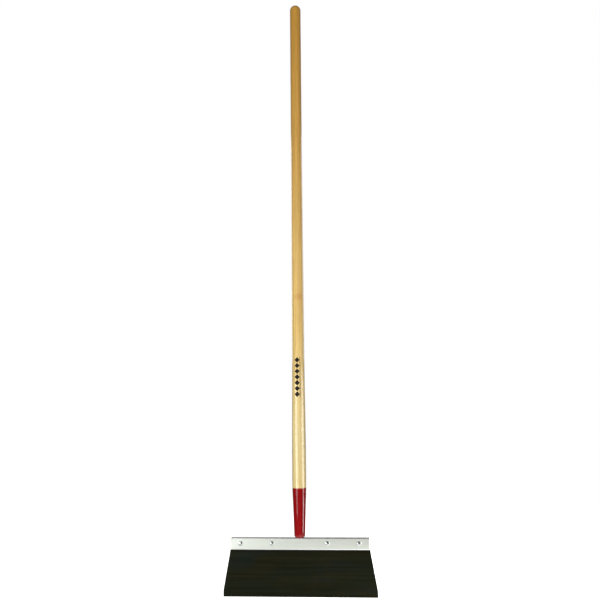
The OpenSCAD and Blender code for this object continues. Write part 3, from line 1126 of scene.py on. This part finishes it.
def make_nut():
    """Outside, a square whose radius is its half width over the larger of cosine and sine, with the corners
    clipped by a cone at the top. Inside, the machine thread a tenth of a millimetre wider."""
    turns = turns_of(96)
    half = nut_high.x
    square = half / np.maximum(np.abs(np.cos(turns)), np.abs(np.sin(turns)))
    corner = np.minimum(square, half * 1.37)
    steps = np.array([0, 0.12, 0.6, 2.0, 3.0, 3.5, 3.85, 4.0]) / 4.0
    z = nut_low.z + steps * (nut_high.z - nut_low.z)
    clip = np.interp(z, [nut_low.z, nut_low.z + 0.12 * MM, nut_high.z - 0.9 * MM, nut_high.z],
                     [half * 1.34, half * 1.5, half * 1.5, half * 1.1])
    shrink = np.interp(z, [nut_low.z, nut_low.z + 0.12 * MM, nut_high.z - 0.15 * MM, nut_high.z],
                       [0.12 * MM, 0, 0, 0.12 * MM])
    outer = np.minimum(corner - shrink[:, None], clip[:, None])
    hole_z = np.linspace(nut_high.z, nut_low.z, 34)
    thread = bolt_r + 0.05 * MM - machine_depth * (1 - ridge(turns, hole_z[:, None], machine_pitch, 0.5))
    mouth = np.minimum(hole_z - nut_low.z, nut_high.z - hole_z)[:, None]
    hole = np.maximum(thread, bolt_r + 0.1 * MM - mouth * 1.2)
    rings = np.vstack([around_z(outer, z, turns), around_z(hole, hole_z, turns)])
    return skin("square_nut_threaded", rings, "loop")


finish_piece(make_bolt(), plated_steel, "plated_steel", "hanger_bolt")
finish_piece(make_nut(), plated_steel, "plated_steel", "square_nut")

# %% [markdown]
# ## Floor and studio
#
# The floor is a pale disc that fades out far from the tool, so that no horizon cuts across the
# picture. The camera sees it glow, so that it stays white and still takes a soft shadow. The tool
# sees light only from the part near its own foot, which glows as a painted pool of light, brighter
# on its right, and brightens it from below. Low softboxes stand to the front left and to the right,
# and their reflections draw the two long stripes down the handle. The dipped end tapers, so it
# mirrors what is lower still, and two small strips near the floor carry the stripes on down it.
# Because all of them are low, the handle gets darker towards the top. The right softbox and both
# strips are hidden from diffuse rays, so they draw reflections and light nothing else. A wide panel
# in front lights the whole shaft, but glossy rays don't see it, so it leaves no stripe. Two dim
# panels behind keep the rear of the tool readable.

# %% Floor
FLOOR_R = 3.2
FADE_FROM, FADE_TO = 1.5, 2.9


def make_floor():
    """A flat disc of rings from the middle out, all facing up."""
    turns = turns_of(64)
    radii = np.linspace(FLOOR_R, 0.05, 12)
    rings = around_z(radii, 0 * radii, turns)
    disc = bpy.data.meshes.new("floor")
    index = np.arange(rings[..., 0].size).reshape(rings.shape[:2])
    turned = np.roll(index, -1, axis=1)
    quads = np.stack([index[:-1], turned[:-1], turned[1:], index[1:]], axis=-1).reshape(-1, 4)
    disc.from_pydata(rings.reshape(-1, 3).tolist(), [], quads.tolist() + [index[-1].tolist()])
    return bpy.data.objects.new("floor", disc)


def make_floor_paper():
    """Pale paper with a faint tooth. The camera sees it glow. For half a metre around the tool it glows
    for every ray, a painted pool of light brighter on its right, and beyond that the tool sees it dark.
    The paper fades out before its rim."""
    material, tree, surface, where = start_material("floor_paper", Roughness=0.8, Specular_IOR_Level=0.0)
    seen = wire(tree, "ShaderNodeLightPath").outputs["Is Camera Ray"]
    tooth = noise(tree, where, 900.0, 3.0)
    pale = mixed(tree, tooth, (0.80, 0.80, 0.80, 1), (0.88, 0.88, 0.88, 1))
    far = wire(tree, "ShaderNodeVectorMath", {0: where}, operation="LENGTH").outputs["Value"]
    across = parts_of(tree, where)[0]
    # The patch near the tool glows: a painted pool of light, brighter on its right, that lights the tool
    # from below.
    near = times(tree, between(tree, far, 0.70, 0.56), between(tree, across, -0.4, 0.3, 0.3, 1.1))
    painted_pool_colour = mixed(tree, near, (0.05, 0.05, 0.05, 1), (0.7, 0.7, 0.68, 1))
    tree.links.new(mixed(tree, seen, painted_pool_colour, pale), surface.inputs["Base Color"])
    surface.inputs["Emission Color"].default_value = (1, 1, 1, 1)
    backdrop = times(tree, seen, between(tree, far, 0.25, 0.9, 0.65, 1.0))
    tree.links.new(plus(tree, backdrop, near), surface.inputs["Emission Strength"])
    tree.links.new(between(tree, far, FADE_FROM, FADE_TO, 1.0, 0.0), surface.inputs["Alpha"])
    return material


floor = make_floor()
floor.data.materials.append(make_floor_paper())
bpy.context.scene.collection.objects.link(floor)
print("floor", len(floor.data.polygons), "faces")

# %% Softboxes
def softbox(name, place, aim, width, height, radiance, tint=(1, 1, 1)):
    """A rectangular light aimed at a point. Its energy is four times its area times its brightness."""
    data = bpy.data.lights.new(name, "AREA")
    data.shape, data.size, data.size_y = "RECTANGLE", width, height
    data.energy = 4 * width * height * radiance
    data.color = tint
    lamp = bpy.data.objects.new(name, data)
    lamp.location = place
    toward = np.asarray(aim, float) - np.asarray(place, float)
    pan = math.atan2(toward[1], toward[0]) - math.pi / 2
    tilt = math.pi / 2 + math.atan2(toward[2], math.hypot(toward[0], toward[1]))
    lamp.rotation_euler = (tilt, 0, pan)
    lamp.visible_camera = False
    bpy.context.scene.collection.objects.link(lamp)
    return lamp


softbox("softbox_left", (-0.92, -1.18, 0.32), (0, 0, 0.32), 0.90, 0.6, 5.2, (0.97, 1.0, 1.0))
stripes = [
    softbox("softbox_right", (0.74, -0.19, 0.36), (0, 0, 0.36), 0.45, 0.46, 4.6, (1.0, 1.0, 0.96)),
    softbox("low_right", (0.757, -0.11, 0.06), (0, 0, 0.06), 0.30, 0.12, 5.5),
    softbox("low_left", (-0.46, -0.59, 0.082), (0, 0, 0.082), 0.20, 0.075, 2.6)]
for stripe in stripes:
    stripe.visible_diffuse = False
fill = softbox("front_fill", (0.25, -1.5, 0.65), (0, 0, 0.65), 1.2, 1.2, 3.1)
fill.visible_glossy = False
softbox("rear_left", (-1.5, 1.6, 1.4), (0, 0, 0.7), 1.2, 1.3, 1.8)
softbox("rear_right", (1.5, 1.5, 1.4), (0, 0, 0.7), 1.2, 1.3, 1.8)

# %% [markdown]
# The sky does two jobs. What the camera sees past the floor is plain white. What the tool itself
# sees is a dim grey room, so that its far edges stay dark and its shape reads against the white.

# %% World
def make_room():
    """White to the camera, grey to every other ray."""
    world = bpy.data.worlds.new("room")
    world.use_nodes = True
    tree = world.node_tree
    seen = wire(tree, "ShaderNodeLightPath").outputs["Is Camera Ray"]
    grey = wire(tree, "ShaderNodeBackground", {"Color": (0.13, 0.13, 0.13, 1)}).outputs[0]
    white = wire(tree, "ShaderNodeBackground", {"Color": (1, 1, 1, 1)}).outputs[0]
    both = wire(tree, "ShaderNodeMixShader", {0: seen, 1: grey, 2: white}).outputs[0]
    tree.links.new(both, tree.nodes["World Output"].inputs["Surface"])
    return world


bpy.context.scene.world = make_room()
bpy.context.scene.view_settings.view_transform = "Standard"
print("world", bpy.context.scene.world.name)
